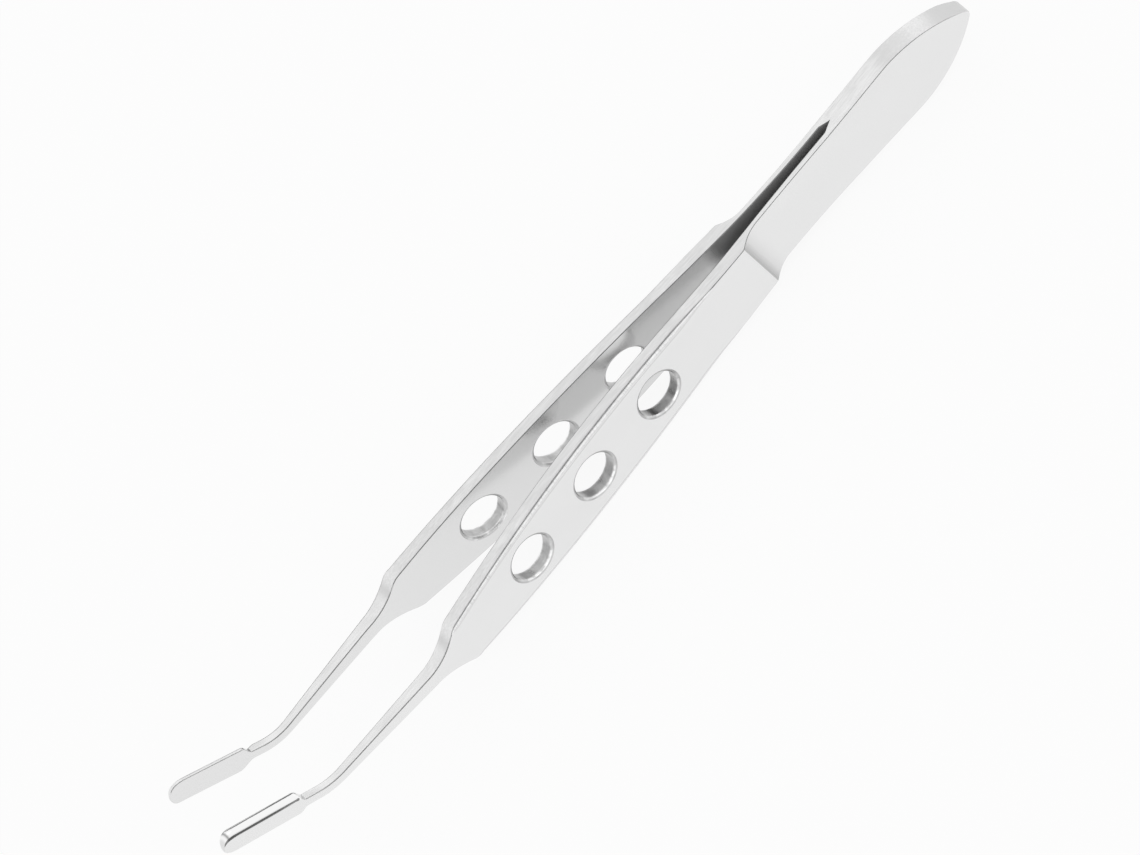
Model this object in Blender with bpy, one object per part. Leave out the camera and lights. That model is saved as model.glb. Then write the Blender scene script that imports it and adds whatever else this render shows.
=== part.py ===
"""Meibomian gland forceps: two sprung steel arms welded into one leaf at the tail.

The near arm ends in a polished half-round jaw and the far arm in a flat paddle jaw. Both jaws
turn up from the handles, so that they reach behind an eyelid. Metres, +Z up: the tips point to
-X, the near arm lies at -Y, and the lower edges of the handles touch Z = 0.
"""
import math

import bmesh
import bpy
import numpy as np
from mathutils import Vector

MM = 0.001

# Tail, where the two leaves are welded and ground flush
TAIL_ARCH_LENGTH = 9.7 * MM
TAIL_HEIGHT = 8.3 * MM
TAIL_POINT_HEIGHT = 0.5 * MM
TAIL_CORNER = 0.12 * MM
WELD_LENGTH = 17.95 * MM
SLIT_WIDTH = 0.92 * MM
SLIT_TAPER_LENGTH = 1.3 * MM
FLEX_CLEARANCE = 0.2 * MM

# Spring leaves, between the weld and the handles
LEAF_ROOT_THICKNESS = 0.7 * MM
LEAF_FRONT_THICKNESS = 0.55 * MM
LEAF_STRAIGHT_LENGTH = 1.45 * MM
LEAF_LENGTH = 13.95 * MM
WAIST_HEIGHT = 7.05 * MM
WAIST_SETBACK = 2.6 * MM

# Handles
STEP_LENGTH = 3.0 * MM
STEP_RADIUS = 3.6 * MM
HANDLE_LENGTH = 45.5 * MM
HANDLE_HEIGHT = 9.1 * MM
HANDLE_PEAK = 23.1 * MM
HANDLE_REAR_SIDE_RADIUS = 200.0 * MM
HANDLE_FRONT_SIDE_RADIUS = 157.0 * MM
WAIST_BLEND_LENGTH = 8.1 * MM
HANDLE_SPLAY = math.radians(3.8)
HANDLE_REAR_THICKNESS = 1.53 * MM
HANDLE_FRONT_THICKNESS = 1.72 * MM
HANDLE_OUTER_HOLLOW = 0.25 * MM
HANDLE_INNER_SWELL = 0.24 * MM
HANDLE_EDGE_RADIUS = 0.52 * MM
HANDLE_EDGE_FADE = 7.0 * MM
HANDLE_FRONT_FADE = 1.2 * MM
PLAIN_EDGE_RADIUS = 0.12 * MM

# Three lightening and grip holes through each handle
HOLE_COUNT = 3
HOLE_DIAMETER = 4.9 * MM
HOLE_PITCH = 9.93 * MM
FIRST_HOLE = 15.5 * MM
HOLE_CHAMFER = 0.3 * MM
HOLE_SIDES = 40
CUTTER_REACH = 0.5 * MM

# Shoulders and necks
SHOULDER_LENGTH = 5.07 * MM
SHOULDER_RADIUS = 5.5 * MM
SHOULDER_CORNER = 0.4 * MM
NECK_LENGTH = 12.23 * MM
NECK_REAR_HEIGHT = 1.6 * MM
NECK_FRONT_HEIGHT = 0.95 * MM
NECK_REAR_THICKNESS = 1.39 * MM
NECK_FRONT_THICKNESS = 0.93 * MM
NECK_TAPER_IN = math.radians(1.05)
NECK_SETBACK = 0.2 * MM
NECK_CORNER = 0.12 * MM

# Bend and jaws
BEND_RADIUS = 6.0 * MM
BEND_ANGLE = math.radians(31.0)
SHANK_LENGTH = 1.62 * MM
JAW_SPREAD = math.radians(1.7)
ROUND_JAW_LENGTH = 10.03 * MM
FLAT_JAW_LENGTH = 9.57 * MM
JAW_WIDTH = 2.58 * MM
ROUND_JAW_END = 1.35 * MM
FLAT_JAW_UPPER_END = 1.9 * MM
FLAT_JAW_LOWER_END = 1.0 * MM
JAW_END_POWER = 2.3
UPPER_SHOULDER_LENGTH = 1.1 * MM
LOWER_SHOULDER_LENGTH = 1.55 * MM
LOWER_SHOULDER_LEAD = 0.25 * MM
THINNING_LEAD = 0.8 * MM
FLAT_JAW_THICKNESS = 0.5 * MM
FLAT_JAW_RIM_RADIUS = 0.2 * MM
ROUND_JAW_RADIUS = 1.14 * MM
ROUND_JAW_FLAT_OFFSET = 0.865 * MM
ROUND_JAW_FLAT_STEP = 0.15 * MM

# How the sections are made: points on each corner, the largest radius that a section takes as
# a share of its least side, and the share of a jaw's rounded end at which its last ring stands
CORNER_POINTS = 6
ROUNDEST = 0.48
END_RING = 0.02
SHARP_ANGLE = math.radians(32)

# Distances along an arm from the tail's point
LEAF_START = WELD_LENGTH + FLEX_CLEARANCE
HANDLE_START = WELD_LENGTH + LEAF_LENGTH
HANDLE_END = HANDLE_START + HANDLE_LENGTH
NECK_START = HANDLE_END + SHOULDER_LENGTH
BEND_START = NECK_START + NECK_LENGTH
BEND_END = BEND_START + BEND_RADIUS * BEND_ANGLE
JAW_START = BEND_END + SHANK_LENGTH

TAIL_THICKNESS = SLIT_WIDTH + 2 * LEAF_ROOT_THICKNESS
LOWEST = -HANDLE_HEIGHT / 2
NEAR, FAR = -1, 1
JAW_END = {NEAR: JAW_START + ROUND_JAW_LENGTH, FAR: JAW_START + FLAT_JAW_LENGTH}


def ramp(distance, start, end):
    """0 before start, 1 after end, with a smooth rise between."""
    t = np.clip((distance - start) / (end - start), 0.0, 1.0)
    return t * t * (3 - 2 * t)


def soft_min(a, b, width):
    """The lower of two curves, with the corner where they cross rounded over the width."""
    reach = max(width - abs(a - b), 0.0) / width
    return min(a, b) - reach * reach * width / 4


def cubic(distance, start, end, ends, slopes):
    """A curve between two heights that starts and ends with the given slopes."""
    span = end - start
    t = (distance - start) / span
    rise = t * t * (3 - 2 * t)
    lead = t * (1 - t) ** 2
    trail = t * t * (t - 1)
    return ends[0] + (ends[1] - ends[0]) * rise + span * (slopes[0] * lead + slopes[1] * trail)


def barrel_half_height(distance):
    """The handle's side outline: two large arcs that meet at its widest place."""
    off = distance - HANDLE_START - HANDLE_PEAK
    radius = HANDLE_REAR_SIDE_RADIUS if off < 0 else HANDLE_FRONT_SIDE_RADIUS
    return HANDLE_HEIGHT / 2 - off * off / (2 * radius)


def neck_half_height(distance):
    """A concave arc down the shoulder, then a straight taper along the neck."""
    along = np.clip((distance - NECK_START) / NECK_LENGTH, 0.0, 1.0)
    half = (NECK_REAR_HEIGHT + (NECK_FRONT_HEIGHT - NECK_REAR_HEIGHT) * along) / 2
    behind = max(NECK_START - distance, 0.0)
    return half + behind * behind / (2 * SHOULDER_RADIUS)


def tail_half_height(distance, waist):
    """An arch that rises from the tail's point, then a parabola that falls to the waist."""
    rise = (TAIL_HEIGHT - TAIL_POINT_HEIGHT) / 2
    radius = (TAIL_ARCH_LENGTH**2 + rise**2) / (2 * rise)
    back = max(TAIL_ARCH_LENGTH - distance, 0.0)
    arch = TAIL_HEIGHT / 2 - radius + math.sqrt(radius**2 - back**2)
    left = (waist - distance) / (waist - TAIL_ARCH_LENGTH)
    fall = (WAIST_HEIGHT + (TAIL_HEIGHT - WAIST_HEIGHT) * left * left) / 2
    return soft_min(arch, fall, TAIL_CORNER)


def half_height(distance):
    """Half the height of the side outline, from the tail's point to the bend."""
    waist = HANDLE_START - WAIST_SETBACK
    if distance < waist:
        return tail_half_height(distance, waist)
    blend_end = HANDLE_START + WAIST_BLEND_LENGTH
    if distance < blend_end:
        slope = (HANDLE_PEAK - WAIST_BLEND_LENGTH) / HANDLE_REAR_SIDE_RADIUS
        ends = (WAIST_HEIGHT / 2, barrel_half_height(blend_end))
        return cubic(distance, waist, blend_end, ends, (0.0, slope))
    if distance < HANDLE_START + HANDLE_PEAK:
        return barrel_half_height(distance)
    if distance > HANDLE_END + SHOULDER_LENGTH / 2:
        return neck_half_height(distance)
    return soft_min(barrel_half_height(distance), neck_half_height(distance), SHOULDER_CORNER)


def arm_line(distance):
    """An arm's line in plan: straight by the weld, an arc along the leaf, then straight again."""
    arc_start = LEAF_START + LEAF_STRAIGHT_LENGTH
    slope = math.tan(HANDLE_SPLAY)
    arc = HANDLE_START - arc_start
    off = np.clip(distance - arc_start, 0.0, arc)
    beyond = max(distance - HANDLE_START, 0.0)
    return SLIT_WIDTH / 2 + slope * off * off / (2 * arc) + slope * beyond


def handle_share(distance):
    """0 at the handle's rear end and 1 at its front end."""
    return np.clip((distance - HANDLE_START) / HANDLE_LENGTH, 0.0, 1.0)


def handle_inner(distance):
    """The handle's inner face swells towards the middle plane, most in the handle's middle."""
    t = handle_share(distance)
    return arm_line(distance) - HANDLE_INNER_SWELL * (4 * t * (1 - t)) ** 2


def neck_inner(distance):
    """The neck's inner face turns in from a corner that lies a little behind the neck's start."""
    corner = NECK_START - NECK_SETBACK
    return arm_line(corner) + math.tan(NECK_TAPER_IN) * (corner - distance)


def inner_face(distance):
    """Distance from the middle plane to an arm's inner face."""
    if distance < BEND_END:
        return soft_min(handle_inner(distance), neck_inner(distance), NECK_CORNER)
    return neck_inner(BEND_END) + math.tan(JAW_SPREAD) * (distance - BEND_END)


def handle_outer(distance):
    """The handle's outer face is hollow along its length, by a parabola between its ends."""
    t = (distance - HANDLE_START) / HANDLE_LENGTH
    thickness = HANDLE_REAR_THICKNESS + (HANDLE_FRONT_THICKNESS - HANDLE_REAR_THICKNESS) * t
    return arm_line(distance) + thickness - HANDLE_OUTER_HOLLOW * 4 * t * (1 - t)


def leaf_outer(distance):
    """The spring leaf's outer face, with the concave step that climbs to the handle."""
    along = np.clip((distance - LEAF_START) / (HANDLE_START - STEP_LENGTH - LEAF_START), 0.0, 1.0)
    thickness = LEAF_ROOT_THICKNESS + (LEAF_FRONT_THICKNESS - LEAF_ROOT_THICKNESS) * along
    climbed = max(distance - (HANDLE_START - STEP_LENGTH), 0.0)
    step = climbed * climbed / (2 * STEP_RADIUS)
    return arm_line(min(distance, HANDLE_START)) + thickness + step


def neck_outer(distance):
    along = max(distance - NECK_START, 0.0) / NECK_LENGTH
    thickness = NECK_REAR_THICKNESS + (NECK_FRONT_THICKNESS - NECK_REAR_THICKNESS) * along
    return neck_inner(distance) + thickness


def outer_face(distance):
    """Distance from the middle plane to an arm's outer face, up to the jaw."""
    if distance < HANDLE_START + HANDLE_PEAK:
        return soft_min(leaf_outer(distance), handle_outer(distance), NECK_CORNER)
    if distance < BEND_START:
        return soft_min(handle_outer(distance), neck_outer(distance), 2 * NECK_CORNER)
    turned = ramp(distance, BEND_START, BEND_END)
    shank = inner_face(distance) + NECK_FRONT_THICKNESS
    return neck_outer(min(distance, BEND_END)) * (1 - turned) + shank * turned


def on_path(distance):
    """The arm's centre line in side view, and the direction across it: (along, up), (along, up)."""
    if distance < BEND_START:
        return (distance, 0.0), (0.0, 1.0)
    angle = min((distance - BEND_START) / BEND_RADIUS, BEND_ANGLE)
    beyond = max(distance - BEND_END, 0.0)
    along = BEND_START + BEND_RADIUS * math.sin(angle) + beyond * math.cos(angle)
    up = BEND_RADIUS * (1 - math.cos(angle)) + beyond * math.sin(angle)
    return (along, up), (-math.sin(angle), math.cos(angle))


def jaw_end_share(distance, end, length):
    """1 along the jaw, falling to almost 0 over its rounded end, which is a superellipse."""
    left = np.clip((end - distance) / length, END_RING, 1.0)
    return (1 - (1 - left) ** JAW_END_POWER) ** (1 / JAW_END_POWER)


def upper_half(distance):
    """How far a section reaches above the centre line."""
    widening = ramp(distance, JAW_START, JAW_START + UPPER_SHOULDER_LENGTH)
    neck = half_height(distance)
    return neck + (JAW_WIDTH / 2 - neck) * widening


def lower_half(distance):
    """How far a section reaches below the centre line."""
    widening = ramp(distance, JAW_START - LOWER_SHOULDER_LEAD, JAW_START + LOWER_SHOULDER_LENGTH)
    neck = half_height(distance)
    return neck + (JAW_WIDTH / 2 - neck) * widening


def rounded_section(inner, outer, upper, lower, inner_radius, outer_radius):
    """A rectangle with rounded corners, as (across, up) points from the outer upper corner round."""
    limit = ROUNDEST * min(outer - inner, upper + lower)
    radii = np.minimum([outer_radius, inner_radius, inner_radius, outer_radius], limit)
    corners = ((outer, upper), (inner, upper), (inner, -lower), (outer, -lower))
    signs = ((1, 1), (-1, 1), (-1, -1), (1, -1))
    points = []
    for index, (corner, sign, radius) in enumerate(zip(corners, signs, radii)):
        turn = np.linspace(0, math.pi / 2, CORNER_POINTS) + index * math.pi / 2
        centre = (corner[0] - sign[0] * radius, corner[1] - sign[1] * radius)
        points.append(np.column_stack((
            centre[0] + radius * np.cos(turn),
            centre[1] + radius * np.sin(turn),
        )))
    return np.concatenate(points)


def half_round_section(outer, share):
    """A circle cut by the flat of the outer face, with as many points as a rounded section."""
    count = 4 * CORNER_POINTS
    flat_edge = math.acos(ROUND_JAW_FLAT_OFFSET / ROUND_JAW_RADIUS)
    turn = np.linspace(flat_edge, 2 * math.pi - flat_edge, count)
    across = ROUND_JAW_RADIUS * np.cos(turn) - ROUND_JAW_FLAT_OFFSET
    up = ROUND_JAW_RADIUS * np.sin(turn)
    return np.column_stack((outer + across * share, up * share))


def edge_radius(distance):
    """The outer edges are rounded for the fingers along the handle, and only broken elsewhere."""
    rise = ramp(distance, HANDLE_START + HANDLE_EDGE_FADE / 2, HANDLE_START + 1.5 * HANDLE_EDGE_FADE)
    fall = ramp(distance, HANDLE_END - HANDLE_FRONT_FADE / 2, HANDLE_END + HANDLE_FRONT_FADE / 2)
    return PLAIN_EDGE_RADIUS + (HANDLE_EDGE_RADIUS - PLAIN_EDGE_RADIUS) * rise * (1 - fall)


def arm_section(distance):
    return rounded_section(
        inner_face(distance),
        outer_face(distance),
        upper_half(distance),
        lower_half(distance),
        PLAIN_EDGE_RADIUS,
        edge_radius(distance),
    )


def flat_jaw_section(distance):
    """The paddle keeps the shank's inner face and is thinned from outside."""
    thinned = ramp(distance, JAW_START - THINNING_LEAD, JAW_START + UPPER_SHOULDER_LENGTH)
    inner = inner_face(distance)
    outer = outer_face(distance)
    outer += (inner + FLAT_JAW_THICKNESS - outer) * thinned
    upper = upper_half(distance) * jaw_end_share(distance, JAW_END[FAR], FLAT_JAW_UPPER_END)
    lower = lower_half(distance) * jaw_end_share(distance, JAW_END[FAR], FLAT_JAW_LOWER_END)
    rim = PLAIN_EDGE_RADIUS + (FLAT_JAW_RIM_RADIUS - PLAIN_EDGE_RADIUS) * thinned
    return rounded_section(inner, outer, upper, lower, PLAIN_EDGE_RADIUS, rim)


def round_jaw_section(distance):
    """The half-round jaw's flat lies a small step outside the shank, and it bulges inwards."""
    bulge = ramp(distance, JAW_START, JAW_START + UPPER_SHOULDER_LENGTH)
    plain = arm_section(distance)
    share = jaw_end_share(distance, JAW_END[NEAR], ROUND_JAW_END)
    rounded = half_round_section(outer_face(distance) + ROUND_JAW_FLAT_STEP, share)
    return plain * (1 - bulge) + rounded * bulge


def stretch(start, end, count):
    """Section places along an arm, without the last one, which the next stretch starts with."""
    return np.linspace(start, end, count, endpoint=False)


def arm_places(side):
    """Where an arm's sections stand: close together where its outline turns."""
    step_start = HANDLE_START - STEP_LENGTH
    step_end = HANDLE_START + STEP_LENGTH / 3
    corner = SHOULDER_LENGTH / 5
    end_length = ROUND_JAW_END if side == NEAR else FLAT_JAW_UPPER_END
    return np.concatenate((
        stretch(LEAF_START, step_start, 6),
        stretch(step_start, step_end, 12),
        stretch(step_end, HANDLE_START + HANDLE_PEAK, 7),
        stretch(HANDLE_START + HANDLE_PEAK, HANDLE_END - corner, 7),
        stretch(HANDLE_END - corner, HANDLE_END + corner, 6),
        stretch(HANDLE_END + corner, NECK_START, 7),
        stretch(NECK_START, BEND_START, 4),
        stretch(BEND_START, BEND_END, 6),
        stretch(BEND_END, JAW_START - THINNING_LEAD, 1),
        stretch(JAW_START - THINNING_LEAD, JAW_START, 3),
        stretch(JAW_START, JAW_START + UPPER_SHOULDER_LENGTH, 6),
        stretch(JAW_START + UPPER_SHOULDER_LENGTH, JAW_START + LOWER_SHOULDER_LENGTH, 3),
        stretch(JAW_START + LOWER_SHOULDER_LENGTH, JAW_END[side] - end_length, 3),
        JAW_END[side] - end_length * np.cos(np.linspace(0, math.pi / 2, 10)),
    ))


def arm_rings(side):
    """The closed outlines that an arm is lofted through, as (along, across, up) points."""
    rings = []
    for distance in arm_places(side):
        if distance < JAW_START - THINNING_LEAD:
            section = arm_section(distance)
        elif side == FAR:
            section = flat_jaw_section(distance)
        else:
            section = round_jaw_section(distance)
        (along, up), (lean, rise) = on_path(distance)
        rings.append(np.column_stack((
            along + section[:, 1] * lean,
            side * section[:, 0],
            up + section[:, 1] * rise,
        )))
    return np.array(rings)


def tail_rings():
    """The welded tail's outlines, from its pointed end to the spring leaves."""
    arch = TAIL_ARCH_LENGTH * (1 - np.cos(np.linspace(0, math.pi / 2, 14)))
    body = np.linspace(TAIL_ARCH_LENGTH, WELD_LENGTH, 6)[1:]
    rings = []
    for distance in np.concatenate((arch, body)):
        half = half_height(distance)
        width = TAIL_THICKNESS / 2
        section = rounded_section(-width, width, half, half, PLAIN_EDGE_RADIUS, PLAIN_EDGE_RADIUS)
        rings.append(np.column_stack((np.full(len(section), distance), section)))
    return np.array(rings)


def hole_rings(distance, side):
    """A drill with a countersink at each face, square to the handle where it passes through."""
    middle = (inner_face(distance) + outer_face(distance)) / 2
    half = (outer_face(distance) - inner_face(distance)) / 2
    step = HOLE_DIAMETER / 2
    lean = (handle_outer(distance + step) - handle_outer(distance - step)) / (2 * step)
    tilt = (math.atan(lean) + HANDLE_SPLAY) / 2
    widest = HOLE_DIAMETER / 2 + HOLE_CHAMFER + CUTTER_REACH
    depths = (
        -half - CUTTER_REACH, -half + HOLE_CHAMFER, half - HOLE_CHAMFER, half + CUTTER_REACH,
    )
    radii = (widest, HOLE_DIAMETER / 2, HOLE_DIAMETER / 2, widest)
    turn = np.linspace(0, 2 * math.pi, HOLE_SIDES, endpoint=False)
    rings = []
    for depth, radius in zip(depths, radii):
        along = radius * np.cos(turn)
        rings.append(np.column_stack((
            distance + along * math.cos(tilt) - depth * math.sin(tilt),
            side * (middle + along * math.sin(tilt) + depth * math.cos(tilt)),
            radius * np.sin(turn),
        )))
    return np.array(rings)


def reach():
    """The overall length: how far the jaws' rounded ends lie from the tail's point."""
    return max(arm_rings(side)[..., 0].max() for side in (NEAR, FAR))


def in_place(points, overall):
    """From (along, across, up) to the object's own frame: tips to -X, lowest edges at Z = 0."""
    placed = np.array(points, float)
    placed[..., 0] = overall / 2 - placed[..., 0]
    placed[..., 2] -= LOWEST
    return placed


def loft(name, rings, origin, collection):
    """A closed body through rings of equal point count, with flat ends; its origin is as given."""
    mesh = bpy.data.meshes.new(name)
    bm = bmesh.new()
    loops = [[bm.verts.new(Vector(point) - origin) for point in ring] for ring in rings]
    for ring, following in zip(loops, loops[1:]):
        for index in range(len(ring)):
            after = (index + 1) % len(ring)
            bm.faces.new((ring[index], ring[after], following[after], following[index]))
    bm.faces.new(loops[0])
    bm.faces.new(loops[-1])
    bmesh.ops.recalc_face_normals(bm, faces=bm.faces)
    bm.to_mesh(mesh)
    bm.free()
    mesh.shade_smooth()
    mesh.set_sharp_from_angle(angle=SHARP_ANGLE)
    obj = bpy.data.objects.new(name, mesh)
    obj.location = origin
    collection.objects.link(obj)
    return obj


def cut(obj, cutter):
    """Takes the cutter's shape out of the object, and hides the cutter."""
    cutter.hide_render = True
    cutter.display_type = "WIRE"
    modifier = obj.modifiers.new(cutter.name, "BOOLEAN")
    modifier.operation = "DIFFERENCE"
    modifier.solver = "EXACT"
    modifier.object = cutter


def steel(name, value, roughness):
    material = bpy.data.materials.new(name)
    material.use_nodes = True
    shader = material.node_tree.nodes["Principled BSDF"]
    shader.inputs["Base Color"].default_value = (value, value, value * 0.99, 1)
    shader.inputs["Metallic"].default_value = 1
    shader.inputs["Roughness"].default_value = roughness
    return material


def slit_rings(overall):
    """A wedge for the slit's closed end, where the two leaves part."""
    tip = WELD_LENGTH - SLIT_TAPER_LENGTH
    mouth = WELD_LENGTH + SLIT_TAPER_LENGTH
    tall = HANDLE_HEIGHT
    plan = ((tip, 0.0), (mouth, SLIT_WIDTH), (mouth, -SLIT_WIDTH))
    rings = [[(along, across, up) for along, across in plan] for up in (-tall, tall)]
    return in_place(rings, overall)


def build_tail(overall, collection):
    middle = Vector((overall / 2 - WELD_LENGTH / 2, 0, -LOWEST))
    tail = loft("welded_tail", in_place(tail_rings(), overall), middle, collection)
    cut(tail, loft("slit_end_cutter", slit_rings(overall), middle, collection))
    tail.data.materials.append(steel("ground_satin_steel", 0.78, 0.3))
    return tail


def build_arm(name, side, overall, collection):
    """One arm, with its origin on the axis that its spring leaf bends about."""
    across = side * (SLIT_WIDTH + LEAF_ROOT_THICKNESS) / 2
    hinge = Vector((overall / 2 - LEAF_START, across, -LOWEST))
    arm = loft(name, in_place(arm_rings(side), overall), hinge, collection)
    for index in range(HOLE_COUNT):
        distance = HANDLE_START + FIRST_HOLE + index * HOLE_PITCH
        rings = in_place(hole_rings(distance, side), overall)
        cut(arm, loft(f"{name}_hole_cutter_{index + 1}", rings, hinge, collection))
    arm.data.materials.append(steel(f"{name}_satin_steel", 0.75, 0.34))
    return arm


def polish_jaw(arm, overall):
    """Gives the half-round jaw's convex side its mirror finish."""
    arm.data.materials.append(steel("mirror_polished_steel", 0.82, 0.06))
    (jaw_along, _), _ = on_path(JAW_START + UPPER_SHOULDER_LENGTH)
    jaw_x = overall / 2 - jaw_along - arm.location.x
    flat_y = -outer_face(JAW_END[NEAR]) - arm.location.y
    for face in arm.data.polygons:
        in_jaw = face.center.x < jaw_x
        on_flat = face.center.y < flat_y + ROUND_JAW_FLAT_OFFSET / 2 and abs(face.normal.y) > 0.99
        if in_jaw and not on_flat:
            face.material_index = 1


def main():
    for obj in list(bpy.data.objects):
        bpy.data.objects.remove(obj, do_unlink=True)
    collection = bpy.context.scene.collection
    overall = reach()
    build_tail(overall, collection)
    near_arm = build_arm("near_arm", NEAR, overall, collection)
    polish_jaw(near_arm, overall)
    build_arm("far_arm", FAR, overall, collection)


main()
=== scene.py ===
"""Meibomian gland forceps in satin, ground and polished steel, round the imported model.

Every surface is worked out with numpy on a grid of two parameters: the distance along an arm
from the tail's point, and the place round the arm's section. Metres; the tips point to -X, the
near arm lies at -Y, and the handles' lower edges touch Z = 0.
"""
import math

import bmesh
import bpy
import numpy as np
from mathutils import Matrix, Vector


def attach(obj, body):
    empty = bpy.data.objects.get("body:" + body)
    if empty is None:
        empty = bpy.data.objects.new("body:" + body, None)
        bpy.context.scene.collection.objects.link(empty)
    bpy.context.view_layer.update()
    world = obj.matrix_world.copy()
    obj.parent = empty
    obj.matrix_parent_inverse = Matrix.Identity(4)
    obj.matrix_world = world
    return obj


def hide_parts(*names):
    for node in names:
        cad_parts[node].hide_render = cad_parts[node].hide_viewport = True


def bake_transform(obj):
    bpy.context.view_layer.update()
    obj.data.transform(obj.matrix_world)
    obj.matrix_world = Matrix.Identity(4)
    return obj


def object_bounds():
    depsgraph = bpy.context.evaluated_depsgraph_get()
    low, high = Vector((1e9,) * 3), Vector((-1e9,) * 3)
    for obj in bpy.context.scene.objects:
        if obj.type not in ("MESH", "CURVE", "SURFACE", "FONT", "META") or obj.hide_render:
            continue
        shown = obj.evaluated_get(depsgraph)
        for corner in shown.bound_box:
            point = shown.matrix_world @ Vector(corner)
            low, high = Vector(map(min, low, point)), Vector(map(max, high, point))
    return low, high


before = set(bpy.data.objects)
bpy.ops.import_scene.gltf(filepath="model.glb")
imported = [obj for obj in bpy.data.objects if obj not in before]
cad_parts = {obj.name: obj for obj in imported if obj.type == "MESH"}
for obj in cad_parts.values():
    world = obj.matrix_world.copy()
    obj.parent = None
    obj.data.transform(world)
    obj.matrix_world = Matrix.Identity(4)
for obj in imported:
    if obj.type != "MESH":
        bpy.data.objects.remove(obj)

bl_info = {
    "name": "Meibomian gland forceps",
    "version": (1, 0, 0),
    "blender": (4, 5, 0),
    "location": "3D View > Sidebar > Forceps",
    "description": "Builds the forceps' tail and arms in steel, with their stage and camera",
    "category": "Add Mesh",
}

CAD_LOW, CAD_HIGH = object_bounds()
MM = 0.001
NEAR, FAR = -1, 1

# Segments along each part of a section
FACE_ROWS, CORNER_ROWS, WALL_ROWS = 26, 7, 8
# How close to a face's edge its first row stands, as a share of the face
FACE_GUARD, WALL_GUARD = 0.004, 0.02

# The painted shade line across the half-round jaw's end, where a crease would shade: its distance
# from the end, half its width, and how much painted shade the tip beyond it takes
JAW_LINE, JAW_LINE_WIDTH, JAW_TIP_PAINTED_SHADE = 0.74 * MM, 0.13 * MM, 0.34
# The painted dark reflection band beside its flat, round the arc in radians: where it starts to
# fade and ends
JAW_BAND = (0.12, 0.34)

# A hole's broken edge from its rim to the wall: a slight break, then a steep slope
CHAMFER_REACH = np.array([1.0, 0.75, 0.5, 0.44, 0.22, 0.0])
CHAMFER_SINK = np.array([0.0, 0.09, 0.18, 0.22, 0.42, 0.64])
# How much of the painted highlight the slight break takes against the slope
CHAMFER_BREAK_SHARE = 0.3

# Round a hole: steps from the face's own points to the rim and down the wall, how near the last
# row of the face comes to the rim, passes to find the face, and how steeply the painted highlight
# on its low side rises
HOLE_FACE_STEPS, HOLE_WALL_STEPS, HOLE_FACE_GUARD, HOLE_PASSES = 9, 7, 0.985, 3
HOLE_LOW_SIDE = 1.2
# Rows along the tail's arch, along its rounded point and from the arch to the slit
TAIL_ROWS = (60, 14, 24)
# Where the slit's painted shade runs out, in step lengths behind and ahead of the handle's start
SLIT_SHADE_RUN_OUT = (0.6, 1.2)

# Darker stretches of the ground edges: from, to, in millimetres along the arm, and how much darker
DARKER_EDGE_STRETCHES = ((-4.0, 4.0, 0.9), (4.5, 10.5, 0.6), (29.0, 78.0, 0.35))
# Millimetres over which such a stretch begins and ends
DARKER_EDGE_FADE = 2.0
# A patch of painted shade on the shoulders' narrow edges: where it starts, is darkest and ends
SHOULDER_SHADE_SPOT = (78.0, 78.9, 80.0)

# Patterns of the satin steel, in cycles a millimetre along, across and up
MOTTLE, GRAIN, SPECK = (0.10, 0.4, 0.25), (1.6, 9.0, 9.0), (7.0, 7.0, 7.0)
GROUND, BLOTCH, NICK = (0.30, 13.0, 13.0), (0.30, 0.9, 0.3), (11.0, 1.5, 1.5)
# How far mottle, grain and specks lighten or darken the broad faces about their own brightness
CLEAN, MOTTLE_TINT, GRAIN_TINT, SPECK_TINT = 0.86, 0.16, 0.14, 0.08
# The same for the grinding lines and blotches of the narrow edges, and how much darker those edges
# are throughout
GROUND_TINT, BLOTCH_TINT, EDGE_DARKENING = 2.4, 0.7, 0.25
# How far the nicks, the painted shade line beside an edge and the shoulders' painted shade patch
# take the darker steel
NICK_DULL, EDGE_LINE_PAINTED_SHADE, SHOULDER_PAINTED_SHADE = 0.9, 0.6, 0.7
# The painted shade past which the slit turns dark and unmetallic, and how fast it takes over
SLIT_SHADE_START, SLIT_SHADE_GROWTH = 0.45, 0.645

# Half the floor's side, the corners of the panels that only the steel mirrors, and each softbox's
# place, width and height, in metres
FLOOR_REACH = 3.0
FLAG_CORNERS = [(-2.5, -1.1, 1), (2.5, -1.1, 1), (2.5, -0.6, 1), (-2.5, 0.35, 1)]
CARD_CORNERS = [
    (-0.055, 0.012, 0.0005), (-0.03, 0.012, 0.0005), (2.4, 1.5, 0.12), (0.3, 1.5, 0.12),
]
SIDE_SOFTBOX = ((0.95, 1.32, 1.32), 1.0, 0.8)
FRONT_SOFTBOX = ((0.0, -2.0, 0.9), 3.0, 1.4)

# Finishes, in the order of a skin's material slots
SATIN, BORED, POLISHED = 0, 1, 2


def length(label, words, millimetres):
    return bpy.props.FloatProperty(
        name=label, description=words, default=millimetres * MM, min=0.0, precision=5,
        subtype="DISTANCE", unit="LENGTH",
    )


def angle(label, words, degrees):
    return bpy.props.FloatProperty(
        name=label, description=words, default=math.radians(degrees), precision=3,
        subtype="ANGLE", unit="ROTATION",
    )


def share(label, words, value, most=1.0):
    return bpy.props.FloatProperty(
        name=label, description=words, default=value, min=0.0, max=most, subtype="FACTOR",
    )


def level(label, words, value):
    return bpy.props.FloatProperty(name=label, description=words, default=value, min=0.0)


def colour(label, words, value):
    return bpy.props.FloatVectorProperty(
        name=label, description=words, default=value, size=3, min=0.0, max=1.0, subtype="COLOR",
    )


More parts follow.
